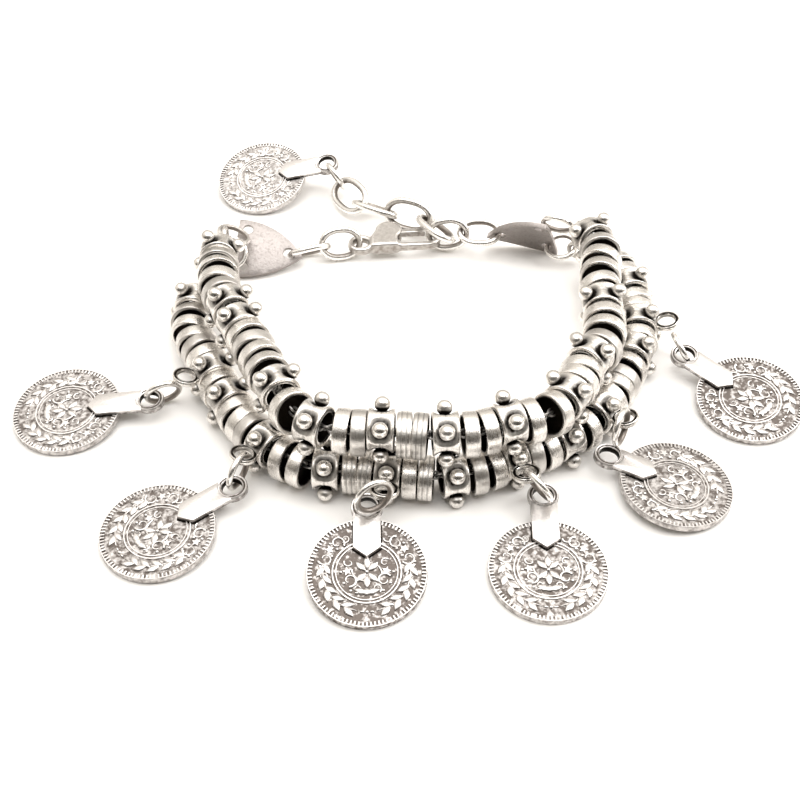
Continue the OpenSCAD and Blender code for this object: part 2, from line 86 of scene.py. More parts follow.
class Bench:
    """The workbench: the few moves by which every template shape is made, in millimetres."""

    @staticmethod
    def clear() -> None:
        """Deselects everything and leaves edit mode."""
        if bpy.context.object and bpy.context.object.mode != "OBJECT":
            bpy.ops.object.mode_set(mode="OBJECT")
        bpy.ops.object.select_all(action="DESELECT")

    @staticmethod
    def hold(obj: Shape) -> Shape:
        """Selects one object alone and makes it the active one.

        Args:
            obj: The object to work on.

        Returns:
            The same object.
        """
        Bench.clear()
        obj.select_set(True)
        bpy.context.view_layer.objects.active = obj
        return obj

    @staticmethod
    def edit(obj: Shape, *moves: Callable[[], object]) -> Shape:
        """Runs edit-mode moves on a whole selected mesh.

        Args:
            obj: The mesh object.
            moves: Operators to call in order, each a function without arguments.

        Returns:
            The same object, back in object mode.
        """
        Bench.hold(obj)
        bpy.ops.object.mode_set(mode="EDIT")
        bpy.ops.mesh.select_all(action="SELECT")
        for move in moves:
            move()
        bpy.ops.object.mode_set(mode="OBJECT")
        return obj

    @staticmethod
    def start(name: str, add: Callable[..., object], **sizes: object) -> Shape:
        """Adds a primitive by itself and names it.

        Args:
            name: The new object's name.
            add: The operator that adds it.
            sizes: The operator's settings.

        Returns:
            The new object.
        """
        Bench.clear()
        add(**sizes)
        obj = bpy.context.object
        obj.name = name
        return obj

    @staticmethod
    def outline(name: str, points: Sequence[tuple[float, float, float]]) -> Shape:
        """Lays a closed outline through points.

        Args:
            name: The new object's name.
            points: Its corners.

        Returns:
            The outline, made of edges alone.
        """
        obj = Bench.start(name, bpy.ops.mesh.primitive_circle_add, vertices=len(points), radius=1)
        for vertex, point in zip(obj.data.vertices, points):
            vertex.co = point
        return obj

    @staticmethod
    def lathe(name: str, profile: Profile, steps: int) -> Shape:
        """Spins a closed profile round Z.

        Args:
            name: The new object's name.
            profile: Points of the section, as radius and height.
            steps: How many steps the full turn has.

        Returns:
            The turned shape.
        """
        return Bench.edit(
            Bench.outline(name, [(radius, 0, height) for radius, height in profile]),
            lambda: bpy.ops.mesh.spin(steps=steps, angle=2 * math.pi, center=(0, 0, 0), axis=(0, 0, 1)),
            lambda: bpy.ops.mesh.select_all(action="SELECT"),
            lambda: bpy.ops.mesh.remove_doubles(threshold=WELD),
            lambda: bpy.ops.mesh.dissolve_degenerate(threshold=WELD),
            lambda: bpy.ops.mesh.normals_make_consistent(inside=False),
        )

    @staticmethod
    def prism(name: str, corners: Profile, low: float, high: float) -> Shape:
        """Extrudes a flat outline along Z.

        Args:
            name: The new object's name.
            corners: Its corners in the XY plane.
            low: Height of the underside.
            high: Height of the top.

        Returns:
            The prism.
        """
        return Bench.edit(
            Bench.outline(name, [(x, y, low) for x, y in corners]),
            lambda: bpy.ops.mesh.edge_face_add(),
            lambda: bpy.ops.mesh.extrude_region_move(TRANSFORM_OT_translate={"value": (0, 0, high - low)}),
            lambda: bpy.ops.mesh.select_all(action="SELECT"),
            lambda: bpy.ops.mesh.normals_make_consistent(inside=False),
        )

    @staticmethod
    def ball(name: str, radius: float, place: Vector, segments: int = 20, rings: int = 12) -> Shape:
        """Adds a ball.

        Args:
            name: The new object's name.
            radius: Its radius.
            place: Its middle.
            segments: Faces round its equator.
            rings: Faces from pole to pole.

        Returns:
            The ball.
        """
        add = bpy.ops.mesh.primitive_uv_sphere_add
        obj = Bench.start(name, add, segments=segments, ring_count=rings, radius=radius)
        obj.data.transform(Matrix.Translation(place))
        return obj

    @staticmethod
    def wire(
        name: str, outer: float, thick: float, stretch: float = 0.0, around: int = 48, across: int = 14
    ) -> Shape:
        """Makes a ring of round wire, or an oval link when it is pulled apart along X.

        Args:
            name: The new object's name.
            outer: Outer diameter across the wire's ends.
            thick: Diameter of the wire.
            stretch: Half of the straight side's length.
            around: Segments along the wire.
            across: Segments round the wire.

        Returns:
            The ring or link.
        """
        obj = Bench.start(
            name, bpy.ops.mesh.primitive_torus_add, major_segments=around, minor_segments=across,
            major_radius=(outer - thick) / 2, minor_radius=thick / 2,
        )
        for vertex in obj.data.vertices:
            along = vertex.co.x / math.hypot(vertex.co.x, vertex.co.y)
            vertex.co.x += math.copysign(stretch * abs(along) ** 0.55, along) if abs(along) > 1e-3 else 0.0
        return obj

    @staticmethod
    def modify(obj: Shape, kind: str, **settings: object) -> Shape:
        """Adds a modifier and applies it.

        Args:
            obj: The mesh object.
            kind: The modifier's type.
            settings: Values set on the modifier.

        Returns:
            The same object.
        """
        Bench.hold(obj)
        modifier = obj.modifiers.new(kind.title(), kind)
        for key, value in settings.items():
            setattr(modifier, key, value)
        bpy.ops.object.modifier_apply(modifier=modifier.name)
        return obj

    @staticmethod
    def bevel(obj: Shape, width: float, segments: int = 2, degrees: float = 35) -> Shape:
        """Rounds the sharp edges of a shape."""
        return Bench.modify(
            obj, "BEVEL", width=width, segments=segments, limit_method="ANGLE",
            angle_limit=math.radians(degrees), use_clamp_overlap=True,
        )

    @staticmethod
    def smooth(obj: Shape, degrees: float = 40) -> Shape:
        """Shades a shape smooth apart from edges sharper than an angle."""
        Bench.hold(obj)
        bpy.ops.object.shade_smooth_by_angle(angle=math.radians(degrees))
        return obj

    @staticmethod
    def stamp(template: Shape, place: Matrix) -> Shape:
        """Copies a template to a place, with a mesh of its own.

        Args:
            template: The shape to copy.
            place: Where the copy goes.

        Returns:
            The copy.
        """
        copy = template.copy()
        copy.data = template.data.copy()
        copy.data.transform(place)
        bpy.context.scene.collection.objects.link(copy)
        return copy

    @staticmethod
    def joined(name: str, parts: Sequence[Shape]) -> Shape:
        """Joins parts into one object.

        Args:
            name: The joined object's name.
            parts: The parts, the first of which takes the others in.

        Returns:
            The joined object.
        """
        Bench.clear()
        for part in parts:
            part.select_set(True)
        bpy.context.view_layer.objects.active = parts[0]
        if len(parts) > 1:
            bpy.ops.object.join()
        parts[0].name = name
        parts[0].data.name = name
        return parts[0]

    @staticmethod
    def write(obj: Shape, layer: str, values: Sequence[float]) -> Shape:
        """Writes a value for each corner of a shape.

        Args:
            obj: The mesh object.
            layer: The attribute's name.
            values: One value for each corner.

        Returns:
            The same object.
        """
        attributes = obj.data.attributes
        attribute = attributes.get(layer) or attributes.new(layer, "FLOAT", "POINT")
        attribute.data.foreach_set("value", values)
        return obj

    @staticmethod
    def tone(obj: Shape, shade: Shade, most: float = BLACK) -> Shape:
        """Writes how dark each corner is, from oxide and painted shade: none where BRIGHT, full in a BLACK
        recess or shade, more still in a painted shadow.
        """
        values = [min(most, max(BRIGHT, shade(corner.co, corner.normal))) for corner in obj.data.vertices]
        return Bench.write(obj, "oxide_and_shade", values)

    @staticmethod
    def brush(obj: Shape, scale: float) -> Shape:
        """Writes where each corner lies along Z, across the brush lines, times a scale."""
        return Bench.write(obj, "brush", [corner.co.z * scale for corner in obj.data.vertices])

    @staticmethod
    def tarnish(obj: Shape, change: Callable[[float], float]) -> Shape:
        """Changes the oxide and painted shade on every corner of a shape, to BLACK at most."""
        for corner in obj.data.attributes["oxide_and_shade"].data:
            corner.value = min(BLACK, change(corner.value))
        return obj


@dataclass
class Nodes:
    """A node tree, and the few kinds of node that the finishes and the room are made of."""

    tree: bpy.types.NodeTree

    def add(self, kind: str, **options: object) -> bpy.types.Node:
        """Adds a shader node.

        Args:
            kind: The kind of node.
            options: What is set on the node itself.

        Returns:
            The node.
        """
        node = self.tree.nodes.new(f"ShaderNode{kind}")
        for key, value in options.items():
            setattr(node, key, value)
        return node

    def feed(self, node: bpy.types.Node, values: dict[int | str, object]) -> bpy.types.Node:
        """Links or sets a node's inputs.

        Args:
            node: The node.
            values: A socket, number or colour for each input.

        Returns:
            The same node.
        """
        for key, value in values.items():
            if isinstance(value, Socket):
                self.tree.links.new(value, node.inputs[key])
            else:
                node.inputs[key].default_value = value
        return node

    def math(self, operation: str, *values: Socket | float, clamp: bool = False) -> Socket:
        """Works out a number."""
        node = self.add("Math", operation=operation, use_clamp=clamp)
        return self.feed(node, dict(enumerate(values))).outputs[0]

    def noise(self, coords: Socket, scale: float, detail: float = 2.0) -> Socket:
        """Adds a noise texture."""
        node = self.add("TexNoise")
        return self.feed(node, {"Vector": coords, "Scale": scale, "Detail": detail}).outputs["Fac"]

    def span(self, value: Socket, low: float, high: float, start: float, end: float) -> Socket:
        """Maps a span of a value to another one, clamped."""
        ends = {"Value": value, "From Min": low, "From Max": high, "To Min": start, "To Max": end}
        return self.feed(self.add("MapRange"), ends).outputs["Result"]

    def mix(self, share: Socket | float, first: object, second: object, blend: str = "MIX") -> Socket:
        """Mixes two colours, each a socket or red, green and blue."""
        colours = [colour if isinstance(colour, Socket) else (*colour, 1) for colour in (first, second)]
        # Inputs 6 and 7 and output 2 are the node's colours.
        node = self.add("Mix", data_type="RGBA", blend_type=blend)
        return self.feed(node, {0: share, 6: colours[0], 7: colours[1]}).outputs[2]


@dataclass(frozen=True)
class SilverFinish:
    """One finish of antique silver: its polished colour, the dark of its oxide and painted shade, the near
    black of painted shadow, and how worn and speckled it is.
    """

    slot: Slot
    bright: tuple[float, float, float]
    oxide_and_shade: tuple[float, float, float]
    gloss: float
    dull: float
    speckle: float
    speckle_scale: float
    relief: float
    brushing: float
    patches: float
    scratches: float = 0.5
    seam: tuple[float, float, float] = (0.012, 0.01, 0.008)
    patch_scale: float = 1300
    grain_scale: float = 2600
    scratch_scale: float = 1500

    def material(self) -> bpy.types.Material:
        """Builds the material's nodes.

        Returns:
            The material, which reads the oxide-and-shade and brush attributes and Object coordinates.
        """
        material = bpy.data.materials.new(self.slot.value)
        material.use_nodes = True
        nodes = Nodes(material.node_tree)
        nodes.tree.nodes.clear()
        coords = nodes.add("TexCoord").outputs["Object"]
        oxide_and_shade = nodes.add("Attribute", attribute_name="oxide_and_shade").outputs["Fac"]
        across = nodes.add("Attribute", attribute_name="brush").outputs["Fac"]
        # Tarnish gathers in patches and eats into the edge of each recess.
        patch = nodes.noise(coords, self.patch_scale, 4)
        worn = nodes.span(patch, 0.35, 0.68, -0.5 * self.patches, 0.4 * self.patches)
        # The weight carries the oxide and the painted shade alike.
        weight = nodes.math("MULTIPLY_ADD", oxide_and_shade, 1.25, nodes.math("MULTIPLY", worn, oxide_and_shade), clamp=True)
        # Speckles, faint colour drift and brush lines round each ring keep the metal from looking painted.
        specks = nodes.span(nodes.noise(coords, self.speckle_scale, 5), 0.5, 0.75, 0.0, self.speckle)
        lines = nodes.add("VectorMath", operation="MULTIPLY_ADD")
        nodes.feed(lines, {0: coords, 1: (60, 60, 60), 2: across})
        brushed = nodes.noise(lines.outputs[0], 9, 3)
        stained = nodes.math("ADD", specks, nodes.span(brushed, 0.35, 0.7, 0.0, self.brushing), clamp=True)
        metal = nodes.mix(stained, self.bright, [part * 0.55 for part in self.bright])
        aged_and_shaded = nodes.mix(weight, metal, self.oxide_and_shade)
        # Darkness past black turns near black: painted shadow round each strap's foot and in each eyelet's
        # hole, and the line between an eyelet's lips.
        shadow_blackened = nodes.mix(nodes.span(oxide_and_shade, 1.1, 1.9, 0.0, 1.0), aged_and_shaded, self.seam)
        rough = nodes.span(weight, 0.0, 1.0, self.gloss, self.dull)
        # Casting grain, fine scratches and the brush lines stand up from the metal.
        stretched = nodes.add("Mapping")
        nodes.feed(stretched, {"Vector": coords, "Scale": (1.0, 6.0, 1.0), "Rotation": (0.3, 0.2, 0.8)})
        scratch = nodes.noise(stretched.outputs[0], self.scratch_scale, 3)
        grain = nodes.math("MULTIPLY_ADD", scratch, self.scratches, nodes.noise(coords, self.grain_scale, 3))
        height = nodes.math("MULTIPLY_ADD", brushed, self.brushing * 3, grain)
        bump = nodes.feed(nodes.add("Bump"), {"Strength": self.relief, "Distance": 0.00006, "Height": height})
        shader = nodes.feed(nodes.add("BsdfPrincipled"), {
            "Metallic": 1.0,
            "Base Color": shadow_blackened,
            "Roughness": nodes.math("MULTIPLY_ADD", stained, 0.35, rough),
            "Normal": bump.outputs[0],
        })
        nodes.feed(nodes.add("OutputMaterial"), {0: shader.outputs[0]})
        return material


FINISHES = (
    SilverFinish(
        Slot.BEAD, (0.88, 0.845, 0.8), (0.016, 0.012, 0.009), gloss=0.2, dull=0.5,
        speckle=0.3, speckle_scale=2400, relief=0.4, brushing=0.4, patches=0.5,
    ),
    SilverFinish(
        Slot.COIN, (0.77, 0.742, 0.722), (0.14, 0.12, 0.108), gloss=0.34, dull=0.5,
        speckle=0.35, speckle_scale=2600, relief=0.5, brushing=0.06, patches=1.6,
    ),
    SilverFinish(
        Slot.PLATE, (0.46, 0.425, 0.41), (0.15, 0.125, 0.105), gloss=0.45, dull=0.55,
        speckle=0.4, speckle_scale=2200, relief=0.9, brushing=0.05, patches=0.6, scratches=0.4,
    ),
    SilverFinish(
        Slot.CHAIN, (0.91, 0.885, 0.85), (0.26, 0.23, 0.205), gloss=0.26, dull=0.45,
        speckle=0.12, speckle_scale=2600, relief=0.15, brushing=0.05, patches=0.5,
    ),
)


def spun(degrees: float, axis: str | Vector = "Z") -> Matrix:
    """Gives the turn by some degrees about an axis."""
    return Matrix.Rotation(math.radians(degrees), 4, axis)


def turned(roll: float, pitch: float, yaw: float) -> Matrix:
    """Gives the turn by roll about X, then pitch about Y, then yaw about Z, in degrees."""
    return spun(yaw) @ spun(pitch, "Y") @ spun(roll, "X")


def posed(row: Row) -> Matrix:
    """Gives the place of a row of x, y, z, roll, pitch and yaw, in millimetres and degrees."""
    return Matrix.Translation(row[:3]) @ turned(*row[3:])


def stood(place: Vector, axis: Vector, spin: float = 0.0) -> Matrix:
    """Gives the place of a shape made round Z that stands with its axis along a direction."""
    pitch = math.degrees(math.acos(max(-1.0, min(1.0, axis.z))))
    yaw = math.degrees(math.atan2(axis.y, axis.x))
    return Matrix.Translation(place) @ turned(0, pitch, yaw) @ spun(spin)


@dataclass
class Kit:
    """What every sub-assembly shares: the finishes, and how a finished piece is handed over."""

    finishes: dict[Slot, bpy.types.Material]
    count: int = 0

    def finish(self, piece: Shape, slot: Slot, node: str, body: str = BRACELET) -> None:
        """Scales a piece to metres, dresses it and lets it stand for its CAD node.

        Args:
            piece: The piece, modelled in millimetres in the frame's place.
            slot: The finish and the record's slot.
            node: The CAD node that it replaces.
            body: The body that it rides on.
        """
        piece.data.transform(Matrix.Scale(MM, 4))
        piece.data.materials.clear()
        piece.data.materials.append(self.finishes[slot])
        piece.name = f"{node}_silver"
        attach(piece, body)
        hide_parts(node)
        self.count += 1
        log.info("%s: %d faces", piece.name, len(piece.data.polygons))


@dataclass
class Thread:
    """A strand's fine chain: a smooth path through the points of its route."""

    route: Sequence[tuple[float, float, float]]
    samples: int = 8
    path: list[Vector] = field(init=False)
    runs: list[float] = field(init=False)

    def __post_init__(self) -> None:
        """Smooths the route and measures along it."""
        points = [Vector(point) for point in self.route]
        last = len(points) - 1
        self.path = []
        for i in range(last):
            a, b, c, d = (points[max(i - 1, 0)], points[i], points[i + 1], points[min(i + 2, last)])
            for j in range(self.samples):
                t = j / self.samples
                bow = (2 * a - 5 * b + 4 * c - d) * t * t
                self.path.append((2 * b + (c - a) * t + bow + (3 * b - a - 3 * c + d) * t**3) / 2)
        self.path.append(points[last])
        self.runs = [0.0]
        for one, two in zip(self.path, self.path[1:]):
            self.runs.append(self.runs[-1] + (two - one).length)

    def at(self, run: float) -> Vector:
        """Gives the point at a length along the thread."""
        run = min(max(run, 0.0), self.runs[-1])
        k = next((i for i in range(1, len(self.runs)) if self.runs[i] >= run), len(self.runs) - 1)
        share = (run - self.runs[k - 1]) / (self.runs[k] - self.runs[k - 1])
        return self.path[k - 1].lerp(self.path[k], share)

    def facing(self, run: float, width: float) -> Vector:
        """Gives the direction of a bead of some width at a length along the thread."""
        return (self.at(run + width / 2) - self.at(run - width / 2)).normalized()


def mirrored(half: Profile, middle: Profile = ()) -> Profile:
    """Closes a half profile with its mirror image under the middle."""
    return [*half, *middle, *((radius, -height) for radius, height in reversed(half))]


@dataclass
class PlainRing:
    """A plain ring of the strands: a soft-edged band of silver, closed inside by a black web of painted
    shade.
    """

    outer: float = 3.7
    width: float = 2.3
    wall: float = 0.75
    grooves: int = 0
    shade_web: float = 0.12

    def template(self, name: str) -> Shape:
        """Turns the ring about Z.

        Args:
            name: The template's name.

        Returns:
            The ring, with oxide on its inner wall.
        """
        r, h, inner = self.outer, self.width / 2, self.outer - self.wall
        crown = [(r - 0.5, h), (r - 0.17, h - 0.01), (r - 0.09, h - 0.07)]
        band = [(r - 0.05, h - 0.2), (r - 0.02, h - 0.5)]
        middle = [(r, 0.0)]
        if self.grooves:
            step = (self.width - 0.7) / self.grooves
            middle = []
            for k in range(self.grooves):
                z = h - 0.35 - step * (k + 0.5)
                middle += [(r - 0.01, z + step * 0.22), (r - 0.09, z), (r - 0.01, z - step * 0.22)]
            band = []
        bore = mirrored([(inner + 0.12, h - 0.02), (inner, h - 0.2)], [(inner, 0)])
        ring = Bench.lathe(name, [*mirrored(crown + band, middle), *reversed(bore)], 44)

        def shade(place: Vector, normal: Vector) -> float:
            """Blackens the inner wall and greys the bottom of each groove."""
            radius = math.hypot(place.x, place.y)
            line = 0.4 if self.grooves and abs(place.z) < h - 0.4 and radius < r - 0.06 else BRIGHT
            return max(line, (inner + 0.22 - radius) / 0.2)

        Bench.tone(ring, shade)
        # Painted shade: a black disc across the bore stands for the dark inside of the ring.
        shade_web = Bench.lathe(name, mirrored([(0, self.shade_web), (inner + 0.02, self.shade_web)]), 24)
        Bench.tone(shade_web, lambda place, normal: BLACK)
        return Bench.smooth(Bench.brush(Bench.joined(name, [ring, shade_web]), 1.6), 60)


@dataclass
class GranuleBead:
    """A granule bead: a smooth tube with a fine line round its middle and four granules in black pockets."""

    outer: float = 3.45
    width: float = 4.1
    groove: float = 0.5
    ball: float = 1.25
    reach: float = 3.95
    bore: float = 2.4
    pocket_w: float = 1.6
    pocket_l: float = 2.1

    def template(self, name: str) -> Shape:
        """Turns the tube and sets its four granules, the first on +X.

        Args:
            name: The template's name.

        Returns:
            The bead about Z.
        """
        r, h, bore = self.outer, self.width / 2, self.bore
        # The profile starts with a disc across the bore, blackened as painted shade for the dark inside of
        # the bead.
        half = [(1.1, 0.12), (bore, 0.12), (bore, h - 0.2), (bore + 0.15, h), (r - 0.2, h)]
        half += [(r - 0.08, h - 0.06), (r - 0.02, h - 0.16), (r, h - 0.36)]
        half += [(r, h - 0.6 - 0.24 * k) for k in range(6)]
        tube = Bench.lathe(name, mirrored(half, [(r - 0.07, 0.0)]), 72)
        shades = []
        for corner in tube.data.vertices:
            place, share = corner.co.copy(), self._pocket(corner.co)
            if share:
                shrink = 1 - self.groove * share / math.hypot(place.x, place.y)
                corner.co = (place.x * shrink, place.y * shrink, place.z)
            shades.append(max(share * 0.85, self._mouth(place)))
        Bench.write(tube, "oxide_and_shade", shades)
        quarters = (0, math.pi / 2, math.pi, 1.5 * math.pi)
        seats = [Vector((math.cos(a), math.sin(a), 0)) * self.reach for a in quarters]
        balls = [Bench.tone(Bench.ball(name, self.ball, seat), self._under(seat)) for seat in seats]
        Bench.brush(tube, 1.2)
        return Bench.smooth(Bench.joined(name, [tube, *balls]), 60)

    def _pocket(self, place: Vector) -> float:
        """Tells how deep in a granule's pocket a place lies.

        Args:
            place: A corner of the tube.

        Returns:
            0 outside the four pockets, up to 1 at their bottoms.
        """
        if math.hypot(place.x, place.y) <= self.bore + 0.3 or abs(place.z) >= self.width / 2 - 0.1:
            return 0.0
        turn = (math.degrees(math.atan2(place.y, place.x)) + 45) % 90 - 45
        arc = math.radians(turn) * self.outer
        deep = ((abs(place.z) / self.pocket_w) ** 3 + (abs(arc) / self.pocket_l) ** 3) ** (1 / 3)
        return min(1.0, max(0.0, (1.12 - deep) / 0.45))

    def _mouth(self, place: Vector) -> float:
        """Blackens the bore, with the disc across it as painted shade, and draws the fine line round the
        middle.
        """
        radius = math.hypot(place.x, place.y)
        if radius < self.bore + 0.1:
            return BLACK
        return 0.3 if abs(place.z) < 0.02 and radius < self.outer else BRIGHT

    def _under(self, seat: Vector) -> Shade:
        """Gives the shade of a ball: black where it meets its seat."""
        axis = seat.normalized()
        return lambda place, normal: -0.15 - (place - seat).dot(axis) / self.ball * 1.8


@dataclass
class DropLoop:
    """The double-lipped loop under a granule that carries a coin's jump ring."""

    outer: float = 2.3
    inner: float = 1.4
    thick: float = 0.9
    reach: float = 5.0

    def template(self, name: str) -> Shape:
        """Turns the loop about Z and stands it on +X, square to the bead's axis.

        Args:
            name: The template's name.

        Returns:
            The loop beside a bead about Z.
        """
        a, b, h = self.outer, self.inner, self.thick / 2
        half = [(b, 0.1), (b + 0.08, h - 0.1), (b + 0.16, h), (b + 0.26, h - 0.14), (a - 0.3, h - 0.14)]
        loop = Bench.lathe(name, mirrored([*half, (a - 0.2, h), (a - 0.08, h - 0.08), (a, 0.1)]), 40)
        lip = h - 0.135

        def shade(place: Vector, normal: Vector) -> float:
            """Blackens the groove between the lips and greys the bore as painted shade."""
            radius = math.hypot(place.x, place.y)
            if b + 0.2 < radius < a - 0.25 and abs(abs(place.z) - lip) < 0.03:
                return 0.9
            # Painted shade: the bore is greyed as if in shade.
            return 0.5 if radius < b + 0.05 else BRIGHT

        Bench.tone(loop, shade)
        loop.data.transform(Matrix.Translation((self.reach, 0, 0)) @ spun(90, "X"))
        return Bench.smooth(loop, 60)


@dataclass
class Strand:
    """One of the two strings of beads, from its route, its chart of beads and their turns.

    Each letter of the chart is a kind of Bead, and - is a short bare gap. In tilts each leaning ring has
    its lean and the direction about which it leans, in degrees.
    """

    name: str
    thread: Thread
    chart: str
    lead: float
    spins: Sequence[float]
    breaks: Sequence[int]
    rests: bool
    first_bead: int
    tilts: dict[int, tuple[float, float]]
    grooved: Sequence[int]
    tarnish: Sequence[float] = (0.0, 0.15, 0.0, 0.05, 0.2, 0.0, 0.03)
    gap: float = 0.6
    play: float = 0.12
    ring_d: float = 7.4
    ring_w: float = 2.3
    bead_w: float = 4.1
    hang: float = 0.4
    rise: float = 0.4
    lift: float = 0.004
    loop_in: float = 1.6
    loop_out: float = 1.55
    loop_turn: float = 256
    link: float = 1.25
    beads: list[tuple[Bead, float]] = field(init=False)

    def __post_init__(self) -> None:
        """Threads the beads one by one, so that neighbours touch at the inside of a bend."""
        self.beads = []
        run, before, gap = self.lead, 1.0, 0.0
        for letter in self.chart:
            if letter == "-":
                gap += self.gap
                continue
            kind = Bead(letter)
            width = self.ring_w if kind is Bead.RING else self.bead_w
            near = run + (before + width) / 2 + gap + self.play
            bend = self.thread.facing(run, before).angle(self.thread.facing(near, width))
            run, before, gap = near + bend * self.ring_d / 2, width, 0.0
            self.beads.append((kind, run))

    def spin(self, number: int) -> float:
        """Gives how far a granule bead is turned on the thread, in degrees."""
        order = [i for i, (kind, _) in enumerate(self.beads) if kind is not Bead.RING]
        return self.spins[order.index(number)] if number in order else 0.0

    def place(self, number: int) -> Matrix:
        """Gives a bead's place: the lower strand's rest on the surface, and the upper's on theirs.

        Args:
            number: The bead's number on the thread.

        Returns:
            The place of a shape made round Z.
        """
        kind, run = self.beads[number]
        plain = kind is Bead.RING
        axis = self.thread.facing(run, self.ring_w if plain else self.bead_w)
        middle = self.thread.at(run)
        spin = self.spin(number)
        if self.rests:
            slope = 0.05 + self.ring_w / 2 * abs(self.thread.facing(run, self.ring_w).z)
            lowest = max(GranuleBead.reach * math.cos(math.radians(spin + 90 * k)) for k in range(4))
            middle.z = (self.ring_d / 2 if plain else lowest + GranuleBead.ball) + slope
        else:
            middle.z += -self.hang if plain else self.rise if kind is Bead.GRANULE else 0.0
        return stood(middle, axis, spin)

    def build(self, kit: Kit, shapes: dict[str, Shape]) -> None:
        """Builds every piece of the strand.

        Args:
            kit: Hands the pieces over.
            shapes: The templates of the rings, the beads, the loops and the fine chain's link.
        """
        granules, drops = count(self.first_bead), count(1)
        for i, (kind, _) in enumerate(self.beads):
            if kind is Bead.GRANULE:
                bead = Bench.stamp(shapes["bead"], self.place(i))
                kit.finish(bead, Slot.BEAD, f"granule_bead_{next(granules)}")
            if kind is Bead.DROP:
                bead = Bench.stamp(shapes["bead"], self.place(i))
                loop = Bench.stamp(shapes["loop"], self.place(i) @ spun(self.loop_turn - self.spin(i)))
                kit.finish(Bench.joined("drop", [bead, loop]), Slot.BEAD, f"drop_bead_{next(drops)}")
        last = len(self.breaks) - 1
        for part, (start, end) in enumerate(zip(self.breaks, self.breaks[1:]), 1):
            pieces = [piece for i in range(start, end + 1) for piece in self._threaded(i, shapes)]
            low = self.loop_in if part == 1 else self.beads[start][1]
            high = self.thread.runs[-1] - self.loop_in if part == last else self.beads[end][1]
            pieces += self._chain(shapes["chain"], low, high)
            if part == 1:
                pieces.append(Bench.stamp(shapes["end_loop"], self._end_place(low, low + 1)))
            if part == last:
                pieces.append(Bench.stamp(shapes["end_loop"], self._end_place(high, high - 1)))
            kit.finish(Bench.joined(self.name, pieces), Slot.BEAD, f"{self.name}_{part}")

    def _threaded(self, number: int, shapes: dict[str, Shape]) -> list[Shape]:
        """Sets a ring, leaning and tarnished in its own way, or a granule bead that is joined to the strand.

        Args:
            number: The bead's number on the thread.
            shapes: The templates.

        Returns:
            The ring or bead, or nothing where the bead is a piece of its own.
        """
        kind = self.beads[number][0]
        if kind is Bead.JOINED:
            return [Bench.stamp(shapes["bead"], self.place(number))]
        if kind is not Bead.RING:
            return []
        lean, about = self.tilts.get(number, (0.0, 0.0))
        axis = Vector((math.cos(math.radians(about)), math.sin(math.radians(about)), 0))
        place = Matrix.Translation((0, 0, self.lift * abs(lean))) @ self.place(number)
        shape = shapes["grooved" if number in self.grooved else "ring"]
        ring = Bench.stamp(shape, place @ spun(lean, axis))
        extra = self.tarnish[number % len(self.tarnish)]
        return [Bench.tarnish(ring, lambda oxide_and_shade: oxide_and_shade + extra)]

    def _end_place(self, run: float, inner: float) -> Matrix:
        """Gives the place of the loop that ends the thread."""
        axis = (self.thread.at(run) - self.thread.at(inner)).normalized()
        return stood(self.thread.at(run) + axis * self.loop_out, axis) @ spun(90, "X")

    def _chain(self, link: Shape, low: float, high: float) -> list[Shape]:
        """Lays the fine chain, every other link turned.

        Args:
            link: The link's template.
            low: Where on the thread the chain begins.
            high: Where it ends.

        Returns:
            The links.
        """
        links = max(1, round((high - low) / self.link))
        chain = []
        for k in range(links):
            run = low + (high - low) * (k + 0.5) / links
            place = stood(self.thread.at(run), self.thread.facing(run, 1.2), 90 * (k % 2) + 20)
            chain.append(Bench.stamp(link, place))
        return chain


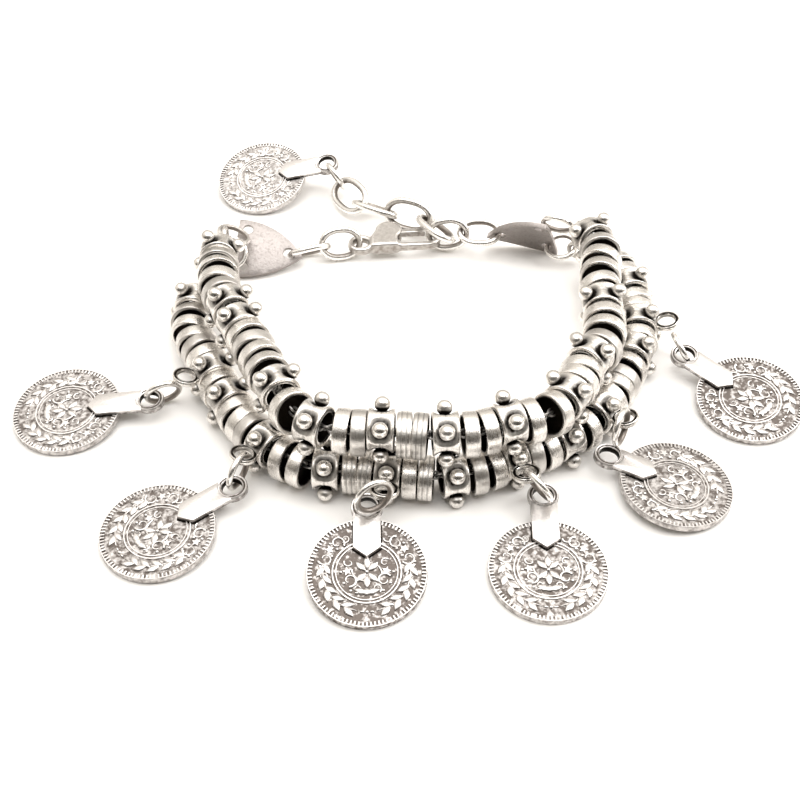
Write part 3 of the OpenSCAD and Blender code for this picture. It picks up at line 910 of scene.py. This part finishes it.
@dataclass
class CoinDrop:
    """A struck coin with its strap and eyelet, in a plain traditional relief of leaves and scrolls."""

    diameter: float = 18.0
    rim: float = 1.1
    face: float = 0.85
    strap_w: float = 4.2
    strap_top: float = 1.7
    eyelet: float = 2.45
    hole: float = 1.6

    def blank(self) -> Shape:
        """Turns the coin's blank, with its rim and the double ring round its middle.

        Returns:
            The blank about Z, its underside at zero.
        """
        r, f, t = self.diameter / 2, self.face, self.rim
        profile = [(0, 0.05), (7.9, 0.05), (8.1, 0.0), (r - 0.1, 0.0), (r, 0.1), (r, t - 0.1), (r - 0.07, t)]
        profile += [(r - 0.17, t), (r - 0.24, f + 0.02), (5.3, f), (5.2, t - 0.08), (5.02, t - 0.08)]
        profile += [(4.92, f), (4.72, f), (4.66, t - 0.12), (4.54, t - 0.12), (4.48, f), (0, f)]
        rims = ((r - 0.2, r), (4.9, 5.3), (4.5, 4.7))

        def shade(place: Vector, normal: Vector) -> float:
            """Leaves the rims bright and the field dark, and greys the coin's outer side as painted shade."""
            radius = math.hypot(place.x, place.y)
            # Painted shade: the coin's outer side is greyed as if in shade.
            if radius > r - 0.02 and abs(normal.z) < 0.8:
                return 0.45
            raised = place.z > f + 0.05 or place.z < f - 0.05
            if raised and any(a - 0.02 <= radius <= b + 0.02 for a, b in rims):
                return BRIGHT
            return 0.72 if place.z > 0.2 else 0.3

        return Bench.smooth(Bench.tone(Bench.lathe("blank", profile, 96), shade), 40)

    def pad(self, name: str, length: float, width: float, height: float, segments: int = 10) -> Shape:
        """Makes a low rounded pad of relief, bright on top and dark at its foot.

        Args:
            name: The template's name.
            length: Its length along X.
            width: Its width along Y.
            height: How far it stands up from the field.
            segments: Faces round it.

        Returns:
            The pad at the origin, half sunk.
        """
        ball = Bench.ball(name, 1.0, Vector(), segments, 6)
        ball.data.transform(Matrix.Diagonal((length / 2, width / 2, height, 1)))
        return Bench.smooth(Bench.tone(ball, lambda place, normal: 0.9 - place.z / height * 1.6), 180)

    def leaf(self) -> Shape:
        """Makes a pointed leaf along X from a pad whose ends are pulled to points."""
        leaf = self.pad("leaf", 2.5, 1.25, 0.28, 12)
        for vertex in leaf.data.vertices:
            vertex.co.y *= max(0.05, 1 - (abs(vertex.co.x) / 1.25) ** 1.8)
        return leaf

    def star(self) -> Shape:
        """Makes a five-pointed star."""
        sizes = (0.75, 0.32) * 5
        turns = [math.pi * k / 5 for k in range(10)]
        points = [(size * math.cos(turn), size * math.sin(turn)) for size, turn in zip(sizes, turns)]
        return self._raised(Bench.prism("star", points, -0.05, 0.17))

    def tick(self) -> Shape:
        """Makes one denticle of the rim."""
        corners = [(-0.34, -0.12), (0.34, -0.15), (0.34, 0.15), (-0.34, 0.12)]
        return self._raised(Bench.bevel(Bench.prism("tick", corners, -0.05, 0.22), 0.05, 1))

    @staticmethod
    def _raised(shape: Shape) -> Shape:
        """Leaves the top of a small shape bright and darkens its sides."""
        return Bench.tone(shape, lambda place, normal: BRIGHT if place.z > 0.1 else 0.9)

    def scroll(self, radius: float, sweep: float, thick: float) -> Shape:
        """Bends a tapered wire into a scroll that winds in as it goes.

        Args:
            radius: Its outer radius.
            sweep: How far it winds, in degrees.
            thick: Its thickness at the thick end.

        Returns:
            The scroll, flat about Z.
        """
        steps = 14
        wire = Bench.start("scroll", bpy.ops.mesh.primitive_circle_add, vertices=6, radius=1)
        for vertex in wire.data.vertices:
            vertex.co = (vertex.co.x, 0, vertex.co.y)
        turn = {"angle": math.radians(10), "center": (5, 0, 0), "axis": (0, 0, 1)}
        Bench.edit(wire, lambda: bpy.ops.mesh.spin(steps=steps, **turn))
        for index, vertex in enumerate(wire.data.vertices):
            share = (index // 6) / steps
            section = Vector((math.cos(math.pi * (index % 6) / 3), math.sin(math.pi * (index % 6) / 3)))
            size = thick / 2 * (1 - 0.55 * share)
            angle, reach = math.radians(sweep) * share, radius * (1 - 0.62 * share)
            out = Vector((math.cos(angle), math.sin(angle), 0))
            vertex.co = out * (reach + section.x * size) + Vector((0, 0, section.y * size * 1.1))
        Bench.edit(wire, lambda: bpy.ops.mesh.normals_make_consistent(inside=False))
        Bench.tone(wire, lambda place, normal: 0.8 - place.z / (thick / 2) * 1.7)
        return Bench.smooth(wire, 180)

    def relief(self) -> list[Shape]:
        """Strikes the relief of a coin's face, its top towards +X.

        Returns:
            The parts of the relief.
        """
        parts: list[Shape] = []

        def ring(shape: Shape, radius: float, angles: Sequence[float], turn: float, lift: float = 0) -> None:
            """Sets copies of a shape round a circle, turned from the circle's own direction."""
            way = Matrix.Translation((radius, 0, self.face + lift)) @ spun(turn)
            parts.extend(Bench.stamp(shape, spun(angle) @ way) for angle in angles)

        tick = self.tick()
        ring(tick, 8.46, [k * 4 for k in range(90)], 0)
        leaf, star, bead = self.leaf(), self.star(), self.pad("bead", 0.62, 0.62, 0.26)
        curl, hook = self.scroll(1.15, 330, 0.54), self.scroll(0.75, 280, 0.42)
        stem = self.scroll(2.3, 150, 0.48)
        twig, petal = self.pad("twig", 2.0, 0.26, 0.2), self.pad("petal", 0.8, 0.4, 0.2)
        # The wreath on the lower half: two branches of paired leaves that meet in a rosette.
        for side in (1, -1):
            angles = [180 + side * (23 + 17 * k) for k in range(5)]
            ring(leaf, 6.95, angles, side * -62)
            ring(leaf, 6.05, [a + side * 5 for a in angles], side * -122)
            ring(twig, 6.45, [180 + side * (20 + 13 * k) for k in range(7)], 90)
        ring(bead, 6.5, [180], 0, 0.02)
        ring(petal, 6.5, [173.5, 186.5], 90)
        # Stars, beads and curls on the upper half.
        ring(star, 6.7, [-84, -56, 56, 84], 30)
        ring(curl, 6.6, [70, -42], 40)
        ring(curl, 6.6, [42, -70], 200)
        ring(hook, 6.5, [30, -30, 96, -97], 120)
        ring(bead, 5.9, [49, -49, 63, -63, 77, -77, 90, -90], 0)
        ring(bead, 7.3, [36, -36, 49, -49, 77, -77, 92, -92], 0)
        # The middle: a vase of scrolls on a leafy foot.
        ring(stem, 0.0, [60, 240], 20)
        ring(curl, 2.9, [118, 242], 60)
        ring(hook, 3.1, [60, -60, 152, 208], 10)
        ring(leaf, 1.6, [0, 180], 0)
        ring(leaf, 1.3, [45, 135, 225, 315], 0)
        ring(leaf, 3.3, [165, 180, 195], 90)
        ring(bead, 0.0, [0], 0, 0.08)
        ring(bead, 3.9, [90, -90, 118, -118, 142, -142], 0)
        ring(star, 2.9, [88, -88], 0)
        for used in (tick, leaf, star, bead, curl, hook, stem, twig, petal):
            bpy.data.objects.remove(used)
        return parts

    def strap(self, reach: float, point: float) -> list[Shape]:
        """Makes the pointed strap and the eyelet at its end.

        Args:
            reach: From the coin's middle to the eyelet's.
            point: From the coin's middle to the strap's point.

        Returns:
            The strap, the black band of painted shadow round its foot and the eyelet.
        """
        w, low, top = self.strap_w / 2, self.face - 0.05, self.strap_top
        edge, side, shoulder = self.diameter / 2 - 0.5, self.strap_w / 2 + 0.17, reach - 1.26
        turns = (-0.84, -0.5, -0.17, 0.17, 0.5, 0.84)
        hollow = [(reach - 1.9 * math.cos(turn), 1.9 * math.sin(turn)) for turn in turns]
        outline = [(point, 0), (point + 1.6, -w), (shoulder, -w), *hollow, (shoulder, w), (point + 1.6, w)]
        grown = [(point - 0.24, 0), (point + 1.5, -side), (edge, -side), (edge, side), (point + 1.5, side)]
        # Painted shadow: a slightly wider black prism under the strap draws its shadow on the coin as a dark
        # outline.
        seam = Bench.tone(Bench.prism("seam", grown, low, self.face + 0.08), lambda place, normal: DEEP_SHADOW, DEEP_SHADOW)
        strap = Bench.bevel(Bench.prism("strap", outline, low, top), 0.12, 2)
        # Painted shade: the strap's sides below the rim's height are darkened.
        Bench.tone(strap, lambda place, normal: 0.85 if place.z < self.rim - 0.05 else BRIGHT)
        r, b, t, u = self.eyelet, self.hole, top, top - 1.2
        profile = [(b, u + 0.15), (b + 0.12, u), (r - 0.15, u), (r, u + 0.15), (r, t - 0.15), (r - 0.12, t)]
        profile += [(r - 0.3, t), (r - 0.36, t - 0.07), (b + 0.3, t - 0.07), (b + 0.2, t)]
        profile += [(b + 0.05, t - 0.06), (b, t - 0.2)]
        eyelet = Bench.lathe("eyelet", profile, 44)

        def shade(place: Vector, normal: Vector) -> float:
            """Blackens the hole and greys the outer wall, both painted shade, and blackens the line between
            the eyelet's lips.
            """
            radius = math.hypot(place.x, place.y)
            # Painted shade: the hole's wall is near black and the outer wall grey, as if in shade.
            if radius < b + 0.02:
                return DEEP_SHADOW
            if abs(place.z - (t - 0.07)) < 0.02 and b + 0.25 < radius < r - 0.3:
                return 1.4
            return 0.5 if radius > r - 0.05 else BRIGHT

        Bench.tone(eyelet, shade, DEEP_SHADOW)
        eyelet.data.transform(Matrix.Translation((reach, 0, 0)))
        return [Bench.smooth(strap, 30), seam, Bench.smooth(eyelet, 50)]


@dataclass
class CoinSet:
    """The seven coins where they lie: x, y, heading, lift, roll, reach, point and tarnish of each."""

    rows: Sequence[tuple[float, float, float, float, float, float, float, float]] = (
        (-57.4, -17.8, 5, 3, 5, 14, 3.6, 0.85),
        (-38.6, -43.6, 35, 4, 0, 13.3, 3.6, 0.95),
        (-6.4, -51.8, 91, 9, 0, 10.8, 2.2, 1.27),
        (20.6, -50.8, 89, 3, 0, 13.5, 3.6, 1.0),
        (42.2, -34.3, 154, 4, 3, 11.4, 3.4, 0.9),
        (57.7, -15.4, 136, 4, -7, 13.5, 3.6, 1.12),
        (-29.6, 47.6, 5, 9, 14, 13.5, 3.6, 0.66),
    )
    clearance: float = 0.02

    def build(self, kit: Kit) -> None:
        """Builds each coin from the one struck face.

        Args:
            kit: Hands the pieces over.
        """
        coin = CoinDrop()
        face = Bench.joined("coin_face", [coin.blank(), *coin.relief()])
        for number, (x, y, heading, lift, roll, reach, point, tarnish) in enumerate(self.rows, 1):
            tilt = math.acos(math.cos(math.radians(roll)) * math.cos(math.radians(lift)))
            copy = Bench.stamp(face, Matrix())
            Bench.tarnish(copy, lambda oxide_and_shade: oxide_and_shade * tarnish + max(0.0, tarnish - 1) * 0.3)
            whole = Bench.joined("coin", [copy, *coin.strap(reach, point)])
            height = coin.diameter / 2 * math.sin(tilt) + self.clearance
            whole.data.transform(posed((x, y, height, roll, -lift, heading)))
            kit.finish(whole, Slot.COIN, f"coin_{number}")
        bpy.data.objects.remove(face)


@dataclass
class WireWork:
    """The jump rings and the cable links, each stood by a row of x, y, z, roll, pitch and yaw."""

    drop_rings: Sequence[Row] = (
        (-41.4, -15.2, 3.3, 4, 71, 117),
        (-26.9, -33.8, 4.3, -6, 96, -31),
        (-5.4, -42.3, 8.1, 8, 87, -55),
        (19.7, -38, 5.9, 0, 67, 34),
        (34, -26.1, 6.3, -1, 84, -29),
        (47.6, -4.3, 3.4, 0, 62, 12),
    )
    end_rings: Sequence[Row] = (
        (-33.5, 21.2, 4.4, 1, 136, 97),
        (-32.8, 22.9, 7.3, 0, 25, 24),
        (29.5, 25.3, 2.7, 0, 164, 41),
        (28, 23.3, 9.5, 2, 121, -104),
    )
    chain_links: Sequence[Row] = (
        (-18.8, 24, 2.8, -45, -6, 13),
        (-12.9, 25.5, 3.3, 67, 4, 14),
        (7.7, 28.2, 3.5, 70, -13, -4),
        (13.8, 27.9, 4.1, 13, -1, -2),
    )
    extender_links: Sequence[Row] = (
        (5.4, 29.2, 4.1, 32, 2, 123),
        (0.2, 33.7, 3.9, -65, 0, 158),
        (-6.3, 36.4, 3.4, 35, -1, 152),
        (-11.6, 41.4, 3.1, -38, 0, 125),
    )
    extender_ring: Row = (-14.5, 46.2, 4.4, 65, -9, 121)

    def build(self, kit: Kit) -> None:
        """Builds every ring and link.

        Args:
            kit: Hands the pieces over.
        """
        jump = self._dressed(Bench.wire("jump", 6.6, 1.0))
        # The drop rings are darkened all over, partly tarnish and partly painted shade.
        shade_and_tarnish_jump = self._dressed(Bench.wire("jump", 6.6, 1.0), 0.6)
        link = self._dressed(Bench.wire("link", 6.6, 1.2, 1.05))
        long_link = self._dressed(Bench.wire("long_link", 6.8, 1.3, 1.8))
        for shape, rows, node in (
            (shade_and_tarnish_jump, self.drop_rings, "drop_ring"),
            (jump, self.end_rings, "end_ring"),
            (link, self.chain_links, "chain_link"),
            (long_link, self.extender_links, "extender_link"),
        ):
            for number, row in enumerate(rows, 1):
                kit.finish(Bench.stamp(shape, posed(row)), Slot.CHAIN, f"{node}_{number}")
        kit.finish(Bench.stamp(jump, posed(self.extender_ring)), Slot.CHAIN, "extender_ring")
        for used in (jump, shade_and_tarnish_jump, link, long_link):
            bpy.data.objects.remove(used)

    @staticmethod
    def _dressed(shape: Shape, tarnish: float = 0.0) -> Shape:
        """Tarnishes the inner side of the wire, darkens it all over by the given amount, and smooths it."""
        Bench.tone(shape, lambda place, normal: tarnish - 1.2 * normal.xy.dot(place.xy.normalized()))
        return Bench.smooth(shape, 180)


@dataclass
class ShapedNode:
    """A piece whose CAD shape is right: a copy is merged and its edges are softened.

    A cast piece is first wrapped in an even skin, whose ripples are then smoothed away in so many passes.
    """

    node: str
    slot: Slot
    width: float
    shade: Shade
    body: str = BRACELET
    cast: int = 0

    def build(self, kit: Kit, nodes: dict[str, Shape]) -> None:
        """Copies the node, merges it, softens its edges and dresses it.

        Args:
            kit: Hands the piece over.
            nodes: The frame's CAD nodes.
        """
        source = nodes[self.node]
        Bench.clear()
        copy = bpy.data.objects.new(self.node, source.data.copy())
        bpy.context.scene.collection.objects.link(copy)
        copy.data.transform(Matrix.Scale(1 / MM, 4) @ source.matrix_world)
        Bench.edit(
            copy,
            lambda: bpy.ops.mesh.remove_doubles(threshold=4 * WELD),
            lambda: bpy.ops.mesh.dissolve_limited(angle_limit=math.radians(2)),
        )
        if self.cast:
            Bench.modify(copy, "REMESH", mode="VOXEL", voxel_size=self.width / 3)
            Bench.modify(copy, "SMOOTH", factor=0.5, iterations=self.cast)
        else:
            Bench.bevel(copy, self.width, 2, 40)
        Bench.tone(Bench.smooth(copy, 180 if self.cast else 45), self.shade)
        kit.finish(copy, self.slot, self.node, self.body)


@dataclass
class Studio:
    """The plain pale floor, the soft lights and the camera at the photograph's angle."""

    eye: tuple[float, float, float] = (-0.0015, -0.162, 0.1483)
    tilt: float = 45.0
    lens: float = 55.1
    room: float = 1.25
    backdrop: tuple[float, float, float] = (0.74, 0.73, 0.71)
    ceiling: Profile = ((-1, 0.35), (0.0, 0.3), (0.15, 0.4), (0.35, 0.9), (0.6, 1.0), (1, 1.0))
    front: Profile = (
        (-1, 0.06), (-0.72, 0.08), (-0.5, 0.2), (-0.25, 0.7), (0.2, 1.0), (0.55, 1.0), (0.75, 0.88), (1, 0.7),
    )

    def build(self) -> None:
        """Sets up the floor, the lights and the camera."""
        self._floor()
        self._world()
        self._lamp("top_light", (0.0, 0.0, 0.7), 0.8, 5.0, 0)
        self._lamp("side_light", (0.5, 0.05, 0.35), 0.3, 2.0, 55)
        camera = bpy.data.cameras.new("camera")
        camera.lens = self.lens
        camera.sensor_width = 36
        camera.clip_start = 0.005
        bpy.context.scene.camera = self._stood("camera", camera, self.eye, (math.radians(self.tilt), 0, 0))
        bpy.context.scene.view_settings.view_transform = "Standard"
        bpy.context.scene.view_settings.exposure = 0.0

    @staticmethod
    def _floor() -> None:
        """Lays the floor, of a paper white that drifts a little."""
        floor = Bench.start("floor", bpy.ops.mesh.primitive_plane_add, size=3.0, location=(0, 0, 0))
        material = bpy.data.materials.new("floor_white")
        material.use_nodes = True
        nodes = Nodes(material.node_tree)
        cloud = nodes.noise(nodes.add("TexCoord").outputs["Object"], 30)
        nodes.feed(nodes.tree.nodes["Principled BSDF"], {
            "Roughness": 0.85,
            "Specular IOR Level": 0.2,
            "Base Color": nodes.mix(cloud, (0.935, 0.92, 0.90), (0.95, 0.935, 0.915)),
        })
        floor.data.materials.append(material)

    def _world(self) -> None:
        """Makes the room: white overhead, and a darker band low down in front, where the viewer stands."""
        world = bpy.data.worlds.new("room")
        bpy.context.scene.world = world
        world.use_nodes = True
        nodes = Nodes(world.node_tree)
        way = nodes.feed(nodes.add("SeparateXYZ"), {0: nodes.add("TexCoord").outputs["Generated"]}).outputs
        ceiling, front = self._ramp(nodes, way["Z"], self.ceiling), self._ramp(nodes, way["Y"], self.front)
        room = nodes.mix(1.0, ceiling, front, "MULTIPLY")
        # Past the floor's edge the backdrop is seen as pale on every side.
        seen = nodes.mix(nodes.add("LightPath").outputs["Is Camera Ray"], room, self.backdrop)
        nodes.feed(nodes.tree.nodes["Background"], {"Color": seen, "Strength": self.room})

    @staticmethod
    def _ramp(nodes: Nodes, value: Socket, stops: Profile) -> Socket:
        """Adds a ramp of warm greys.

        Args:
            nodes: The room's nodes.
            value: What the ramp reads, from -1 to 1.
            stops: Values and their brightness.

        Returns:
            The ramp's colour.
        """
        node = nodes.feed(nodes.add("ValToRGB"), {0: nodes.span(value, -1, 1, 0, 1)})
        elements = node.color_ramp.elements
        elements.remove(elements[1])
        elements[0].position = 0.0
        for number, (position, grey) in enumerate(stops):
            element = elements[0] if number == 0 else elements.new((position + 1) / 2)
            element.color = (grey, grey * (0.93 + 0.045 * grey), grey * (0.83 + 0.11 * grey), 1)
        return node.outputs[0]

    @staticmethod
    def _stood(name: str, data: bpy.types.ID, place: Sequence[float], turn: Sequence[float]) -> Shape:
        """Stands a lamp or the camera in the scene.

        Args:
            name: The object's name.
            data: The lamp or camera.
            place: Where it stands.
            turn: How it is turned, in radians.

        Returns:
            The object.
        """
        stand = bpy.data.objects.new(name, data)
        stand.location, stand.rotation_euler = place, turn
        bpy.context.scene.collection.objects.link(stand)
        return stand

    @staticmethod
    def _lamp(name: str, place: Sequence[float], side: float, watts: float, lean: float) -> None:
        """Hangs a soft square light.

        Args:
            name: The light's name.
            place: Where it hangs.
            side: How long its sides are.
            watts: How strong it is.
            lean: How far it is turned about Y, in degrees.
        """
        light = bpy.data.lights.new(name, "AREA")
        light.size, light.energy = side, watts
        Studio._stood(name, light, place, (0, math.radians(lean), 0))


OUTER = Strand(
    "strand_outer",
    Thread((
        (-34.6, 19.6, 2.4), (-36.4, 15, 3.6), (-37.8, 10, 4.4), (-38.6, 4, 4.5), (-38, -1.5, 4.5),
        (-35.2, -7, 4.5), (-31.8, -14.5, 4.5), (-28.1, -21, 4.5), (-24.6, -26, 4.5), (-20.3, -30.3, 4.5),
        (-14.5, -32.9, 4.5), (-8, -33.3, 4.5), (-1.6, -34.1, 4.5), (5, -34.8, 4.5), (11.2, -33.2, 4.5),
        (17, -30.4, 4.5), (23, -27.8, 4.5), (28.2, -24.2, 4.5), (32, -19.2, 4.5), (36, -12.5, 4.5),
        (39, -6, 4.5), (40.4, -0.5, 4.5), (40.6, 5.5, 4.5), (40.2, 11.5, 4.5), (39, 17, 4.2),
        (36, 21.6, 3.6), (32.2, 23.9, 3),
    )),
    "grrrrr-drgrrrdrrgrrdrrgrrdrrgr-drrr-r-grdrrgrr",
    lead=11.6,
    spins=(30, 35, 38, 38, 42, 45, 45, 45, 42, 40, 36, 32, 28),
    breaks=(0, 12, 21, 29, 41),
    rests=True,
    first_bead=1,
    tilts={
        1: (-14, 90), 2: (18, 0), 3: (20, 0), 4: (-6, 90), 7: (-8, 90), 9: (9, 0), 10: (-8, 0),
        11: (-9, 90), 13: (-8, 90), 14: (6, 0), 17: (4, 0), 19: (-4, 0), 22: (5, 0), 26: (-7, 0),
        28: (7, 90), 30: (10, 0), 31: (-9, 0), 33: (9, 90), 35: (-9, 0), 37: (10, 0), 38: (-10, 0),
        40: (-8, 0), 41: (6, 90),
    },
    grooved=(16, 17, 20),
)
INNER = Strand(
    "strand_inner",
    Thread((
        (-34, 20.7, 8.6), (-34.1, 15.1, 10.2), (-33.8, 9.4, 11.4), (-33.3, 4.4, 11.9), (-31.7, -1, 12),
        (-28.6, -7.8, 12.1), (-25.6, -13.5, 12.2), (-22.7, -20, 12.3), (-19.4, -26.7, 12.4),
        (-15.1, -31.5, 12.5), (-9.4, -32.7, 12.5), (-3, -33.1, 12.5), (4.5, -33.8, 12.5), (10.4, -33, 12.5),
        (16.2, -31.1, 12.5), (21.8, -29.1, 12.4), (25.6, -24, 12.2), (28.7, -17.7, 12), (32, -12.5, 11.8),
        (33, -6.2, 11.8), (33.2, 0.4, 11.8), (33.9, 6.9, 11.7), (34.6, 12.4, 11.4), (34, 17.7, 10.4),
        (32.2, 22.1, 9),
    )),
    "grrr-rg-j-rr-r-r--g--r-grrgrrgrrgr-rjrrgr-r-r-j-r--r--r-r--j",
    lead=6.3,
    spins=(25, 32, 36, 40, 42, 45, 42, 45, 45, 42, 38, 32),
    breaks=(0, 11, 19, 28, 37),
    rests=False,
    first_bead=8,
    tilts={
        1: (-11, 90), 2: (-17, 70), 3: (12, 0), 4: (-11, 90), 7: (-12, 90), 8: (12, 0), 9: (-12, 60),
        10: (-13, 90), 12: (-16, 90), 14: (4, 0), 17: (-4, 0), 20: (5, 0), 23: (-8, 0), 24: (11, 90),
        27: (-12, 0), 29: (9, 90), 30: (9, 40), 31: (5, 90), 33: (-14, 0), 34: (9, 60), 35: (12, 0),
        36: (8, 90),
    },
    grooved=(17, 18),
)


def shapes() -> dict[str, Shape]:
    """Models the templates that the strands repeat.

    Returns:
        The plain and the grooved ring, the bead, the loops and the fine chain's link.
    """
    chain = Bench.tone(Bench.wire("chain", 1.7, 0.42, 0.35, 16, 6), lambda place, normal: 0.35)
    chain.data.transform(spun(90, "Y"))
    end_loop = Bench.tone(Bench.wire("end_loop", 3.9, 0.9, 0, 32, 10), lambda place, normal: 0.1)
    return {
        "ring": PlainRing().template("ring"),
        "grooved": PlainRing(grooves=2).template("grooved"),
        "bead": GranuleBead().template("bead"),
        "loop": DropLoop().template("loop"),
        "chain": Bench.smooth(chain, 180),
        "end_loop": Bench.smooth(end_loop, 180),
    }


def painted_facing_shade(place: Vector, normal: Vector) -> float:
    """Paints shade by facing: darker the more a face turns sideways and bright where it slopes just off the
    top, painted shade and highlight, with flat tops grey.
    """
    return 0.45 if normal.z > 0.985 else 0.1 + 0.6 * (1 - abs(normal.z))


SHAPED = (
    ShapedNode("end_plate_left", Slot.PLATE, 0.14, lambda place, normal: 0.15),
    # Painted shade: the right plate's faces turned towards the front are darkened.
    ShapedNode("end_plate_right", Slot.PLATE, 0.14, lambda place, normal: 0.2 if normal.y < -0.3 else BRIGHT),
    # The clasp's body and lever take painted shade and highlight by how each face turns.
    ShapedNode("clasp_body", Slot.CHAIN, 0.42, painted_facing_shade, cast=60),
    ShapedNode("clasp_lever", Slot.CHAIN, 0.3, painted_facing_shade, LEVER, cast=7),
)


def main() -> None:
    logging.basicConfig(level=logging.INFO, format="%(name)s: %(message)s")
    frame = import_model()
    Studio().build()
    kit = Kit({finish.slot: finish.material() for finish in FINISHES})
    templates = shapes()
    for strand in (OUTER, INNER):
        strand.build(kit, templates)
    for used in templates.values():
        bpy.data.objects.remove(used)
    CoinSet().build(kit)
    WireWork().build(kit)
    for piece in SHAPED:
        piece.build(kit, frame["nodes"])
    log.info("%d pieces", kit.count)


if __name__ == "__main__":
    main()
